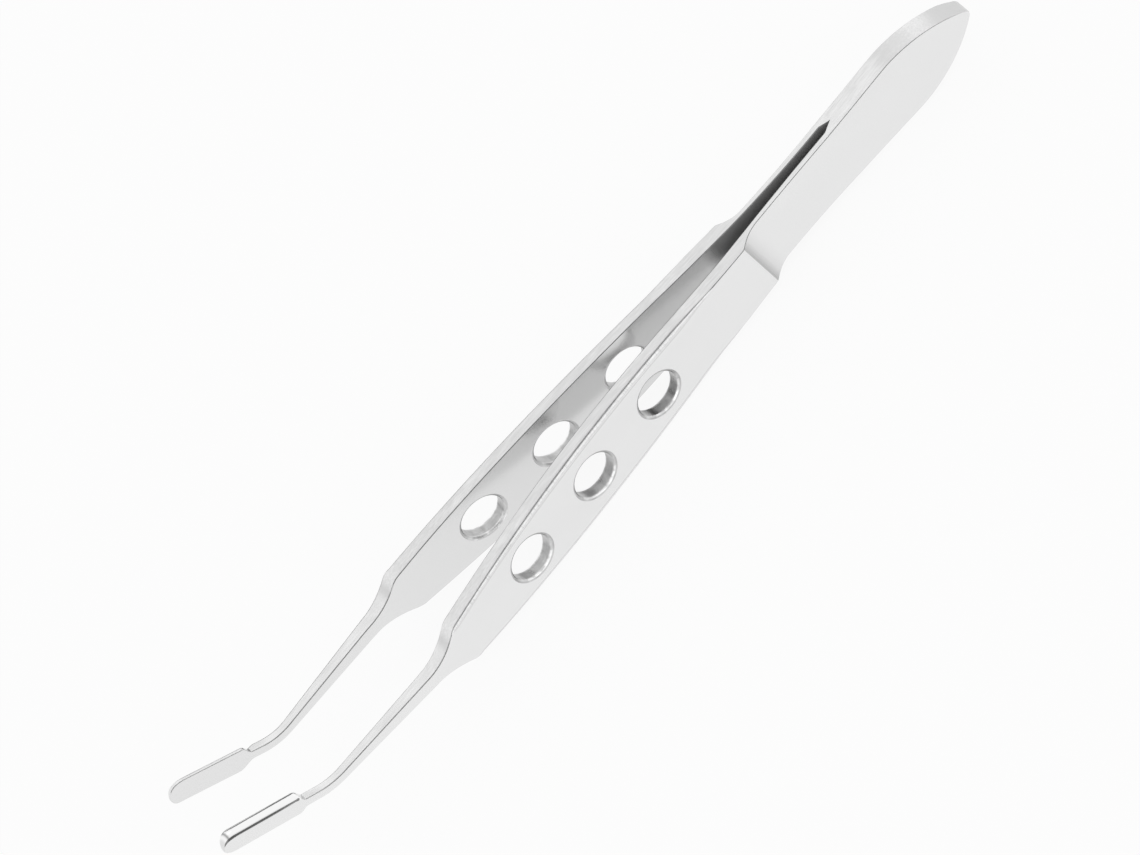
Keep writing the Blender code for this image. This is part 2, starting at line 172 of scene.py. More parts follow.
class ForcepsSizes(bpy.types.PropertyGroup):
    """The lengths and angles that every curve of the forceps is worked out from."""
    tail_arch_length: length("Tail arch", "Length of the tail's pointed arch", 9.7)
    tail_height: length("Tail height", "Height of the tail behind its arch", 8.3)
    tail_point_height: length("Tail point", "Height of the tail's blunt point", 0.5)
    tail_corner: length("Tail corner", "Softness of the corner where the arch ends", 0.12)
    tail_nose_length: length("Tail nose", "Length over which the tail's point is rounded", 0.25)
    tail_nose_radius: length("Tail nose radius", "Radius of the point's far corner in plan", 0.5)
    tail_nose_fade: length("Tail nose fade", "Length over which that radius runs out", 1.8)
    weld_length: length("Weld", "Distance from the tail's point to the open slit", 17.95)
    slit_width: length("Slit", "Width of the slit between the spring leaves", 0.92)
    slit_taper_length: length("Slit taper", "Length of the slit's pointed end", 1.3)
    flex_clearance: length("Leaf set-off", "Distance from the slit to where the leaves bend", 0.2)
    leaf_root_thickness: length("Leaf root", "Thickness of a spring leaf at the weld", 0.7)
    leaf_front_thickness: length("Leaf front", "Thickness of a spring leaf at the step", 0.55)
    leaf_straight_length: length("Straight leaf", "Length of the leaf before it curves out", 1.45)
    leaf_length: length("Leaf", "Distance from the slit to the handle", 13.95)
    waist_height: length("Waist", "Least height, between tail and handle", 7.05)
    waist_setback: length("Waist set-back", "Distance from the waist to the handle", 2.6)
    step_length: length("Step", "Length of the step from the leaf to the handle", 3.0)
    step_radius: length("Step radius", "Radius of the step's concave curve", 3.6)
    # Painted shade: these darken the step's crest, the leaves' inner faces in the slit, the
    # handles' inner faces and their front in colour, in place of shade
    step_dullness: share("Step dullness", "How dull the step's crest is", 0.95)
    slit_dullness: share("Slit dullness", "The leaves' inner faces; 2 is bare of polish", 2.0, 2.0)
    inner_dullness: share("Inner dullness", "How dull the handles' inner faces are", 0.42)
    front_dullness: share("Front dullness", "The same in front of the holes", 0.2)
    handle_length: length("Handle", "Length of a handle", 45.5)
    handle_height: length("Handle height", "Greatest height of a handle", 9.1)
    handle_peak: length("Handle peak", "Distance from the handle's rear to its highest place", 23.1)
    handle_rear_side_radius: length("Rear side", "Side outline radius behind the peak", 200.0)
    handle_front_side_radius: length("Front side", "Side outline radius before the peak", 157.0)
    waist_blend_length: length("Waist blend", "Length of the handle's run-out to the waist", 8.1)
    handle_splay: angle("Splay", "Angle that each handle opens at", 3.8)
    handle_rear_thickness: length("Handle rear", "Thickness at the handle's rear", 1.53)
    handle_front_thickness: length("Handle front", "Thickness at the handle's front", 1.72)
    handle_outer_hollow: length("Outer hollow", "How far a handle's outer face is hollow", 0.25)
    handle_inner_swell: length("Inner swell", "How far a handle's inner face swells", 0.24)
    handle_edge_radius: length("Handle edge", "Radius of a handle's outer edges", 0.52)
    handle_edge_fade: length("Edge fade", "Length over which a handle's edges sharpen", 7.0)
    handle_front_fade: length("Front fade", "Length over which they sharpen at the front", 1.2)
    plain_edge_radius: length("Plain edge", "Width of every other edge", 0.1)
    leaf_edge_share: share("Leaf edge", "Width of the leaves' edges against a plain edge", 0.7)
    front_edge_share: share(
        "Front edge", "Radius of a handle's edges at its front against its rear", 0.7,
    )
    plain_edge_steepness: share("Plain edge slope", "Fall of a plain edge against its width", 0.6)
    round_edge_stretch: share(
        "Round edge stretch", "Height of a round edge against its width", 1.35, 2.0,
    )
    hole_diameter: length("Hole", "Diameter of the holes", 4.9)
    hole_pitch: length("Hole pitch", "Distance between two holes", 9.93)
    first_hole: length("First hole", "Distance from the handle's rear to its first hole", 15.5)
    hole_chamfer: length("Hole chamfer", "Width of the broken edge round a hole", 0.3)
    hole_surround: length("Hole surround", "Half length of the face worked round a hole", 3.7)
    shoulder_length: length("Shoulder", "Length from the handle to the neck", 5.07)
    shoulder_radius: length("Shoulder radius", "Radius of the shoulder's concave arc", 5.5)
    shoulder_corner: length("Shoulder corner", "Softness of the handle's front corner", 0.4)
    neck_length: length("Neck", "Length of the slim neck", 12.23)
    neck_rear_height: length("Neck rear height", "Height at the neck's rear", 1.6)
    neck_front_height: length("Neck front height", "Height at the neck's front", 0.95)
    neck_rear_thickness: length("Neck rear", "Thickness at the neck's rear", 1.39)
    neck_front_thickness: length("Neck front", "Thickness at the neck's front", 0.93)
    neck_taper_in: angle("Neck angle", "Angle that each neck turns in by", 1.05)
    neck_setback: length("Neck set-back", "Distance from the corner in plan to the neck", 0.2)
    neck_corner: length("Neck corner", "Softness of the corners in plan", 0.12)
    bend_radius: length("Bend radius", "Radius of the upward bend", 6.0)
    bend_angle: angle("Bend", "Angle that the jaws turn up by", 31.0)
    shank_length: length("Shank", "Length from the bend to the jaw", 1.62)
    jaw_spread: angle("Jaw spread", "Angle that each jaw opens at", 1.7)
    round_jaw_length: length("Round jaw", "Length of the half-round jaw", 10.03)
    flat_jaw_length: length("Flat jaw", "Length of the flat jaw", 9.57)
    jaw_width: length("Jaw width", "Width of the flat jaw", 2.58)
    round_jaw_end: length("Round jaw end", "Length of the half-round jaw's rounded end", 1.65)
    flat_jaw_upper_end: length("Upper end", "Length of the flat jaw's upper end corner", 1.9)
    flat_jaw_lower_end: length("Lower end", "Length of the flat jaw's lower end corner", 1.0)
    jaw_end_power: level("Jaw end power", "Power of the jaws' rounded ends", 2.3)
    upper_shoulder_length: length("Upper shoulder", "Length of a jaw's upper shoulder", 1.1)
    lower_shoulder_length: length("Lower shoulder", "Length of a jaw's lower shoulder", 1.55)
    lower_shoulder_lead: length("Shoulder lead", "How far the lower shoulder starts ahead", 0.25)
    thinning_lead: length("Thinning lead", "How far ahead of the flat jaw its thinning starts", 0.8)
    flat_jaw_thickness: length("Flat jaw thickness", "Thickness of the flat jaw", 0.5)
    flat_jaw_rim_radius: length("Flat jaw rim", "Radius of the flat jaw's outer rim", 0.2)
    round_jaw_radius: length("Round jaw radius", "Radius of the half-round jaw", 1.115)
    round_jaw_flat_offset: length("Round jaw flat", "Distance from its centre to its flat", 0.726)
    round_jaw_flat_step: length("Round jaw step", "How far its flat lies outside the shank", 0.06)


class ForcepsFinish(bpy.types.PropertyGroup):
    """The colours, roughness and scratch depths of the steel."""
    steel_light: colour("Light steel", "The steel where it is cleanest", (0.86, 0.86, 0.86))
    steel_dark: colour("Dark steel", "The steel in scratches and dull spots", (0.68, 0.68, 0.68))
    # Painted shade takes this colour, and so do the nicks, which are real marks
    steel_dull: colour("Dull steel", "The steel where it is dullest", (0.6, 0.6, 0.6))
    # Painted shade: the slit's faces turn to this dark, unmetallic colour
    scale_dark: colour("Scale", "The unpolished faces in the slit", (0.26, 0.26, 0.26))
    bore_light: colour("Light bore", "A hole's wall where it is cleanest", (0.62, 0.62, 0.62))
    # Also the colour of the painted shade on the half-round jaw
    bore_dark: colour("Dark bore", "A hole's wall in its tool marks", (0.36, 0.36, 0.36))
    # Also the colour of the painted highlight on the holes' rims
    polish_light: colour("Polished steel", "The polished jaw", (0.97, 0.97, 0.97))
    satin_roughness: share("Satin roughness", "Roughness of the broad faces", 0.22)
    ground_roughness: share("Ground roughness", "Roughness of the narrow edges", 0.32)
    bore_roughness: share("Bore roughness", "Roughness of the holes' walls", 0.3)
    polish_roughness: share("Polish roughness", "Roughness of the polished jaw", 0.1)
    grain_depth: length("Grain depth", "Depth of the satin grain", 0.0010)
    ground_depth: length("Grinding depth", "Depth of the lengthwise grinding lines", 0.0030)
    nick_depth: length("Nick depth", "Depth of the marks across the rounded edges", 0.0040)
    bore_depth: length("Bore depth", "Depth of the tool marks in the holes", 0.0050)


class StudioSettings(bpy.types.PropertyGroup):
    """The camera's place, and how bright the stage is."""
    azimuth: angle("Azimuth", "Where the camera stands round the forceps", 0.397)
    elevation: angle("Elevation", "How far the camera looks down", 51.05)
    roll: angle("Roll", "How far the forceps' length is turned in the picture", 48.67)
    distance: length("Distance", "From the camera to the forceps", 3704.0)
    frame_width: length("Frame width", "Width of the picture at the forceps", 109.64)
    aim_right: length("Aim right", "How far right of the picture's middle they lie", 2.289)
    aim_down: length("Aim down", "How far below the picture's middle they lie", 0.144)
    floor_colour: colour("Floor", "Colour of the floor", (0.92, 0.92, 0.92))
    floor_white: share("Floor white", "Share of plain white in the floor as it is seen", 0.9)
    mirrored_white: share("Mirrored white", "The same share where the steel mirrors it", 0.9)
    sky_level: level("Sky", "Brightness of the surroundings on the floor", 0.8)
    side_level: level("Side softbox", "Brightness of the softbox at the tail's side", 0.12)
    front_level: level("Front softbox", "Brightness of the softbox below the camera", 0.28)
    flag_colour: colour("Flag", "Colour of the dark panel over the forceps", (0.33, 0.33, 0.33))
    card_colour: colour("Card", "Colour of the grey card behind the forceps", (0.18, 0.18, 0.18))


def ramp(value, start, end):
    """0 before start and 1 after end, rising as 3t squared less 2t cubed between."""
    t = np.clip((value - start) / (end - start), 0.0, 1.0)
    return t * t * (3 - 2 * t)


def soft_min(a, b, width):
    """The lower of two curves, less a parabola where they are closer than the width."""
    reach = np.maximum(width - np.abs(a - b), 0.0) / width
    return np.minimum(a, b) - reach * reach * width / 4


def spaced(stops):
    """Places from stop to stop, each stretch cut into equal steps of about its own size."""
    runs = [
        np.linspace(start, end, max(2, round((end - start) / step) + 1))[:-1]
        for (start, step), (end, _) in zip(stops, stops[1:])
    ]
    return np.concatenate(runs)


class ForcepsCurves:
    """The outlines of an arm and the tail, as numpy functions of the distance along them."""

    def __init__(self, sizes):
        for key in ForcepsSizes.__annotations__:
            setattr(self, key, getattr(sizes, key))
        self.slit_tip = self.weld_length - self.slit_taper_length
        self.leaf_start = self.weld_length + self.flex_clearance
        self.handle_start = self.weld_length + self.leaf_length
        self.step_start = self.handle_start - self.step_length
        self.handle_end = self.handle_start + self.handle_length
        self.neck_start = self.handle_end + self.shoulder_length
        self.bend_start = self.neck_start + self.neck_length
        self.bend_end = self.bend_start + self.bend_radius * self.bend_angle
        self.jaw_start = self.bend_end + self.shank_length
        self.jaw_end = {
            NEAR: self.jaw_start + self.round_jaw_length,
            FAR: self.jaw_start + self.flat_jaw_length,
        }
        self.tail_half_thickness = self.slit_width / 2 + self.leaf_root_thickness

    def barrel_half_height(self, s):
        """Two large arcs, as parabolas, that meet at the handle's highest place."""
        off = s - self.handle_start - self.handle_peak
        radius = np.where(off < 0, self.handle_rear_side_radius, self.handle_front_side_radius)
        return self.handle_height / 2 - off * off / (2 * radius)

    def neck_half_height(self, s):
        """A concave parabola down the shoulder, then a straight taper along the neck."""
        along = np.clip((s - self.neck_start) / self.neck_length, 0.0, 1.0)
        height = self.neck_rear_height + (self.neck_front_height - self.neck_rear_height) * along
        behind = np.maximum(self.neck_start - s, 0.0)
        return height / 2 + behind * behind / (2 * self.shoulder_radius)

    def waist_half_height(self, s, waist, end):
        """A cubic from the waist, where it is level, to the barrel, whose slope it meets."""
        span = end - waist
        t = np.clip((s - waist) / span, 0.0, 1.0)
        slope = (self.handle_peak - self.waist_blend_length) / self.handle_rear_side_radius
        low, high = self.waist_height / 2, self.barrel_half_height(end)
        return low + (high - low) * t * t * (3 - 2 * t) + span * slope * t * t * (t - 1)

    def tail_half_height(self, s, waist):
        """An arch of a circle up from the tail's point, then a parabola down to the waist."""
        rise = (self.tail_height - self.tail_point_height) / 2
        radius = (self.tail_arch_length**2 + rise**2) / (2 * rise)
        back = np.clip(self.tail_arch_length - s, 0.0, self.tail_arch_length)
        arch = self.tail_height / 2 - radius + np.sqrt(radius**2 - back**2)
        left = np.maximum(waist - s, 0.0) / (waist - self.tail_arch_length)
        fall = (self.waist_height + (self.tail_height - self.waist_height) * left * left) / 2
        return soft_min(arch, fall, self.tail_corner)

    def half_height(self, s):
        """The side outline from the tail's point to the bend, each stretch by its own formula."""
        waist = self.handle_start - self.waist_setback
        blend_end = self.handle_start + self.waist_blend_length
        tail = self.tail_half_height(s, waist)
        blend = self.waist_half_height(s, waist, blend_end)
        barrel = self.barrel_half_height(s)
        neck = self.neck_half_height(s)
        return np.select(
            [
                s < waist,
                s < blend_end,
                s < self.handle_start + self.handle_peak,
                s > self.handle_end + self.shoulder_length / 2,
            ],
            [tail, blend, barrel, neck],
            soft_min(barrel, neck, self.shoulder_corner),
        )

    def arm_line(self, s):
        """Straight by the weld, a parabola along the leaf, then straight again."""
        arc_start = self.leaf_start + self.leaf_straight_length
        slope = math.tan(self.handle_splay)
        arc = self.handle_start - arc_start
        off = np.clip(s - arc_start, 0.0, arc)
        beyond = np.maximum(s - self.handle_start, 0.0)
        return self.slit_width / 2 + slope * off * off / (2 * arc) + slope * beyond

    def handle_inner(self, s):
        """Swells to the middle plane by the square of 4t(1 - t), with t the share of the handle."""
        t = np.clip((s - self.handle_start) / self.handle_length, 0.0, 1.0)
        return self.arm_line(s) - self.handle_inner_swell * (4 * t * (1 - t)) ** 2

    def neck_inner(self, s):
        """Turns in, in a straight line, from a corner a little behind the neck's start."""
        corner = self.neck_start - self.neck_setback
        return self.arm_line(corner) + math.tan(self.neck_taper_in) * (corner - s)

    def inner_face(self, s):
        """From the middle plane to the inner face: the slit's wedge, leaf, handle, neck and jaw."""
        slit = np.clip((s - self.slit_tip) / self.slit_taper_length, 0.0, 1.0)
        plain = soft_min(self.handle_inner(s), self.neck_inner(s), self.neck_corner)
        jaw = self.neck_inner(self.bend_end) + math.tan(self.jaw_spread) * (s - self.bend_end)
        return np.select(
            [s < self.weld_length, s < self.bend_end], [slit * self.slit_width / 2, plain], jaw,
        )

    def handle_outer(self, s):
        """A handle's outer face is hollow along its length, by a parabola between its ends."""
        t = (s - self.handle_start) / self.handle_length
        ends = (self.handle_rear_thickness, self.handle_front_thickness)
        thickness = ends[0] + (ends[1] - ends[0]) * t
        return self.arm_line(s) + thickness - self.handle_outer_hollow * 4 * t * (1 - t)

    def leaf_outer(self, s):
        """The leaf's outer face, with the parabola that climbs to the handle."""
        along = np.clip((s - self.leaf_start) / (self.step_start - self.leaf_start), 0.0, 1.0)
        thickness = self.leaf_root_thickness
        thickness = thickness + (self.leaf_front_thickness - thickness) * along
        climbed = np.maximum(s - self.step_start, 0.0)
        line = self.arm_line(np.minimum(s, self.handle_start))
        return line + thickness + climbed * climbed / (2 * self.step_radius)

    def neck_outer(self, s):
        along = np.maximum(s - self.neck_start, 0.0) / self.neck_length
        thickness = self.neck_rear_thickness
        return self.neck_inner(s) + thickness + (self.neck_front_thickness - thickness) * along

    def outer_face(self, s):
        """From the middle plane to the outer face, up to the jaw."""
        turned = ramp(s, self.bend_start, self.bend_end)
        shank = self.inner_face(s) + self.neck_front_thickness
        return np.select(
            [s < self.handle_start + self.handle_peak, s < self.bend_start],
            [
                soft_min(self.leaf_outer(s), self.handle_outer(s), self.neck_corner),
                soft_min(self.handle_outer(s), self.neck_outer(s), 2 * self.neck_corner),
            ],
            self.neck_outer(np.minimum(s, self.bend_end)) * (1 - turned) + shank * turned,
        )

    def inner_dull(self, s):
        """Painted shade on the inner faces: falls from the slit's to the handles', and on to that
        of their front.
        """
        start, (behind, ahead) = self.handle_start, SLIT_SHADE_RUN_OUT
        fall = ramp(s, start - behind * self.step_length, start + ahead * self.step_length)
        front = ramp(s, start + self.handle_peak, self.handle_end)
        dull = self.slit_dullness + (self.inner_dullness - self.slit_dullness) * fall
        return dull + (self.front_dullness - self.inner_dullness) * front

    def edge_radius(self, s):
        """The outer edges are rounded along the handle, and only broken elsewhere."""
        fade = self.handle_edge_fade
        rise = ramp(s, self.handle_start + fade / 2, self.handle_start + 1.5 * fade)
        half_fade = self.handle_front_fade / 2
        fall = ramp(s, self.handle_end - half_fade, self.handle_end + half_fade)
        left = ramp(s, self.handle_start + self.handle_peak, self.handle_end)
        extra = self.handle_edge_radius * (1 - (1 - self.front_edge_share) * left)
        extra = extra - self.plain_edge_radius
        fine = 1 - ramp(s, self.step_start, self.handle_start + fade)
        plain = self.plain_edge_radius * (1 - (1 - self.leaf_edge_share) * fine)
        return plain + extra * rise * (1 - fall)

    def jaw_half(self, s, shoulder_start, shoulder_length):
        """Half the width of the flat jaw, swelling out of the neck over its shoulder."""
        widening = ramp(s, shoulder_start, shoulder_start + shoulder_length)
        neck = self.half_height(s)
        return neck + (self.jaw_width / 2 - neck) * widening

    def jaw_end_share(self, s, end, length):
        """1 along the jaw, falling to 0 over its rounded end as a superellipse."""
        left = np.clip((end - s) / length, 0.0, 1.0)
        return (1 - (1 - left) ** self.jaw_end_power) ** (1 / self.jaw_end_power)

    def place(self, straight, side):
        """From (along, across, up) of a straight arm to its bent place in the row frame."""
        along, across, up = np.moveaxis(straight, -1, 0)
        turn = np.clip((along - self.bend_start) / self.bend_radius, 0.0, self.bend_angle)
        beyond = np.maximum(along - self.bend_end, 0.0)
        before = np.minimum(along, self.bend_start)
        x = before + self.bend_radius * np.sin(turn) + beyond * np.cos(turn) - up * np.sin(turn)
        z = self.bend_radius * (1 - np.cos(turn)) + beyond * np.sin(turn) + up * np.cos(turn)
        return np.stack((CAD_HIGH.x - x, side * across, z + self.handle_height / 2), axis=-1)


def guarded(rows, guard):
    """Shares from 0 to 1 with one close row by each end, so that smooth shading stays in it."""
    return np.concatenate(([0.0], np.linspace(guard, 1 - guard, rows - 1), [1.0]))


def section_layout():
    """Where each point of a section stands, from the outer face's lower edge round.

    Returns the point's share in each of the four corners' centres, (outer upper, inner upper,
    inner lower, outer lower), and its direction from there, which the corner's radius scales:
    once for a round corner, once for a bevel.
    """
    corners = np.eye(4)
    directions = np.array([[1.0, 0.0], [0.0, 1.0], [-1.0, 0.0], [0.0, -1.0]])
    shares, headings, bevels = [], [], []
    for index in range(4):
        rows, guard = ((FACE_ROWS, FACE_GUARD), (WALL_ROWS, WALL_GUARD))[index % 2]
        t = guarded(rows, guard)[:-1, None]
        shares.append(corners[index - 1] * (1 - t) + corners[index] * t)
        headings.append(np.repeat(directions[index][None], rows, axis=0))
        bevels.append(headings[-1])
        turn = np.linspace(0, math.pi / 2, CORNER_ROWS, endpoint=False)[:, None]
        shares.append(np.repeat(corners[index][None], CORNER_ROWS, axis=0))
        following = directions[(index + 1) % 4]
        headings.append(directions[index] * np.cos(turn) + following * np.sin(turn))
        straight = np.clip(turn / (math.pi / 2) * 1.2 - 0.1, 0.0, 1.0)
        bevels.append(directions[index] * (1 - straight) + following * straight)
    return np.concatenate(shares), np.concatenate(headings), np.concatenate(bevels)


SHARES, HEADINGS, BEVELS = section_layout()
RING = len(SHARES)
INNER_START = FACE_ROWS + WALL_ROWS + 2 * CORNER_ROWS


def rim_drop(gap, radius, roundness):
    """How far a rim falls from its face: a straight bevel, or the quarter circle of a round rim."""
    inside = np.clip(radius - gap, 0.0, radius)
    return inside + (radius - np.sqrt(radius**2 - inside**2) - inside) * roundness


def section_points(curves, s, inner, outer, upper, lower, inner_radius, outer_radius, to_tip=None):
    """Rectangles with bevelled or rounded corners, one for each place s, as (along, across, up).

    A corner is a shallow bevel at the plain edges' size and, from twice that size on, a quarter
    ellipse. Where the outline slopes by k, a rim takes the root of 1 + k squared times its own
    height. With to_tip, the distance to a rounded tip, the rim turns round the tip as well: its
    gap is the smaller of the gaps to the outline and to the tip, softened.
    """
    limit = 0.48 * (outer - inner)
    radii = np.stack([np.minimum(r, limit) for r in (outer_radius, inner_radius)], axis=1)
    radii = radii[:, [0, 1, 1, 0]]
    half = np.stack((upper, upper, lower, lower), axis=1)
    steepness = np.sqrt(1 + np.gradient(half, s, axis=0) ** 2)
    plain = curves.plain_edge_radius
    roundness = np.clip(radii / plain - 1, 0.0, 1.0)
    fall = curves.plain_edge_steepness
    reach = fall + (curves.round_edge_stretch - fall) * roundness
    tall = np.minimum(radii * steepness * reach, 0.96 * half)
    signs = np.array([1, 1, -1, -1])
    centre_across = np.stack((outer, inner, inner, outer), axis=1)
    centre_across = centre_across + radii * np.array([-1, 1, 1, -1])
    headings = BEVELS + (HEADINGS - BEVELS) * (roundness @ SHARES.T)[..., None]
    across = centre_across @ SHARES.T + (radii @ SHARES.T) * headings[..., 0]
    up = (signs * (half - tall)) @ SHARES.T + (tall @ SHARES.T) * headings[..., 1]
    if to_tip is not None:
        edge = np.where(up > 0, upper[:, None], lower[:, None])
        slope = np.where(up > 0, steepness[:, :1], steepness[:, 2:3])
        gap = np.maximum(edge - np.abs(up), 1e-9) / slope
        gap = (gap**-4.0 + np.maximum(to_tip, 1e-9)[:, None] ** -4.0) ** -0.25
        facing_out = HEADINGS[:, 0] > 1e-6
        facing_in = HEADINGS[:, 0] < -1e-6
        drops = [
            rim_drop(gap / reach[:, i:i + 1], radii[:, i:i + 1], roundness[:, i:i + 1])
            for i in (0, 1)
        ]
        from_outer, from_inner = outer[:, None] - drops[0], inner[:, None] + drops[1]
        across = np.where(facing_out, from_outer, np.where(facing_in, from_inner, across))
    along = np.repeat(s[:, None], RING, axis=1)
    return np.stack((along, across, up), axis=-1)


def half_round_points(curves, s, flat):
    """Circles cut by a flat: the outer face's rows lie on the flat, all others on the arc."""
    radius, offset = curves.round_jaw_radius, curves.round_jaw_flat_offset
    turn = round_jaw_turns(curves)
    edge = turn[0]
    rows = guarded(FACE_ROWS, FACE_GUARD)[:-1] * 2 - 1
    across = np.concatenate((np.zeros(FACE_ROWS), radius * np.cos(turn) - offset))
    up = np.concatenate((rows * radius * math.sin(edge), radius * np.sin(turn)))
    end = curves.jaw_end_share(s, curves.jaw_end[NEAR], curves.round_jaw_end)[:, None]
    along = np.repeat(s[:, None], RING, axis=1)
    return np.stack((along, flat[:, None] + across * end, up * end), axis=-1)


def round_jaw_turns(curves):
    """The angles of the half-round jaw's arc, from its flat's upper edge round to the lower one."""
    edge = math.acos(curves.round_jaw_flat_offset / curves.round_jaw_radius)
    return np.linspace(edge, 2 * math.pi - edge, RING - FACE_ROWS + 1)[:-1]


def round_jaw_painted_shade(curves, s):
    """Painted shade on the half-round jaw: a line across its end where a crease would shade, its
    tip, and a painted dark reflection band along the flat that grows to the end.
    """
    from_end = curves.jaw_end[NEAR] - s
    line = np.exp(-(((from_end - JAW_LINE) / JAW_LINE_WIDTH) ** 2))
    tip = JAW_TIP_PAINTED_SHADE * (1 - ramp(from_end, 0.2 * JAW_LINE, 0.6 * JAW_LINE))
    turns = round_jaw_turns(curves)
    beside = 1 - ramp(turns - turns[0], *JAW_BAND)
    growth = ramp(from_end, 0.55 * curves.round_jaw_length, 0.95 * curves.round_jaw_length)
    growth = (1 - growth) * ramp(from_end, 0.8 * JAW_LINE, 1.2 * JAW_LINE)
    return np.maximum((line + tip)[:, None], growth[:, None] * beside[None])


class Skin:
    """A surface gathered from grids of points, with the finish of each of its faces."""

    def __init__(self):
        self.points, self.narrow, self.dull, self.quads, self.finishes = [], [], [], [], []
        self.count = 0

    def add(self, points, narrow=0.0, dull=0.0):
        """Takes a grid of points, how narrow their edge is and how much painted shade they take;
        numbers them.
        """
        size = points[..., 0].size
        numbers = np.arange(self.count, self.count + size).reshape(points.shape[:-1])
        self.points.append(points.reshape(-1, 3))
        self.narrow.append(np.broadcast_to(narrow, points.shape[:-1]).reshape(-1))
        self.dull.append(np.broadcast_to(dull, points.shape[:-1]).reshape(-1))
        self.count += size
        return numbers

    def join(self, numbers, finish=SATIN, keep=None):
        """Quads between the rows of a grid that closes on itself sideways."""
        around = np.roll(numbers, -1, axis=1)
        quads = np.stack((numbers[:-1], around[:-1], around[1:], numbers[1:]), axis=-1)
        keep = np.ones(quads.shape[:2], bool) if keep is None else keep
        finish = np.broadcast_to(np.asarray(finish).reshape(-1, 1), keep.shape)
        self.quads.append(quads[keep])
        self.finishes.append(finish[keep])

    def finished(self, name, place, materials, cap):
        """The closed mesh object; its own steel coordinates are those of the straight arm."""
        straight = np.concatenate(self.points)
        quads = np.concatenate(self.quads)
        mesh = bpy.data.meshes.new(name)
        faces = quads.tolist() + [cap.tolist()]
        mesh.from_pydata(place(straight).tolist(), [], faces)
        finishes = np.append(np.concatenate(self.finishes), SATIN).astype(np.int32)
        mesh.polygons.foreach_set("material_index", finishes)
        lay = mesh.attributes.new("lay", "FLOAT_VECTOR", "POINT")
        lay.data.foreach_set("vector", (straight / MM).astype(np.float32).ravel())
        for key, values in (("narrow", self.narrow), ("dull", self.dull)):
            layer = mesh.attributes.new(key, "FLOAT", "POINT")
            layer.data.foreach_set("value", np.concatenate(values).astype(np.float32))
        bm = bmesh.new()
        bm.from_mesh(mesh)
        bmesh.ops.remove_doubles(bm, verts=bm.verts, dist=2e-7)
        bmesh.ops.dissolve_degenerate(bm, dist=1e-8, edges=bm.edges)
        bmesh.ops.recalc_face_normals(bm, faces=bm.faces)
        loose = sum(len(edge.link_faces) != 2 for edge in bm.edges)
        bm.to_mesh(mesh)
        bm.free()
        if loose:
            raise RuntimeError(f"{name}: {loose} edges are open or shared by over two faces")
        mesh.shade_smooth()
        mesh.set_sharp_from_angle(angle=math.radians(40))
        for material in materials:
            mesh.materials.append(material)
        obj = bpy.data.objects.new(name, mesh)
        bpy.context.scene.collection.objects.link(obj)
        return obj


def narrow_share():
    """1 on the top and bottom walls, 0 on the broad faces, the sine of the turn between."""
    return np.abs(HEADINGS[:, 1])


def painted_shade_share(curves, s):
    """Painted shade: the inner faces' own; on the outer faces, the square of the step's climb."""
    inner = curves.inner_dull(s)
    climb = np.clip((s - curves.step_start) / (0.85 * curves.step_length), 0.0, 1.0)
    crest = curves.leaf_outer(s) > curves.handle_outer(s)
    outer = np.where(crest, 0.0, climb * climb) * curves.step_dullness
    sides = inner[:, None] * np.maximum(-HEADINGS[:, 0], 0.0)[None]
    return sides + outer[:, None] * np.maximum(HEADINGS[:, 0], 0.0)[None]


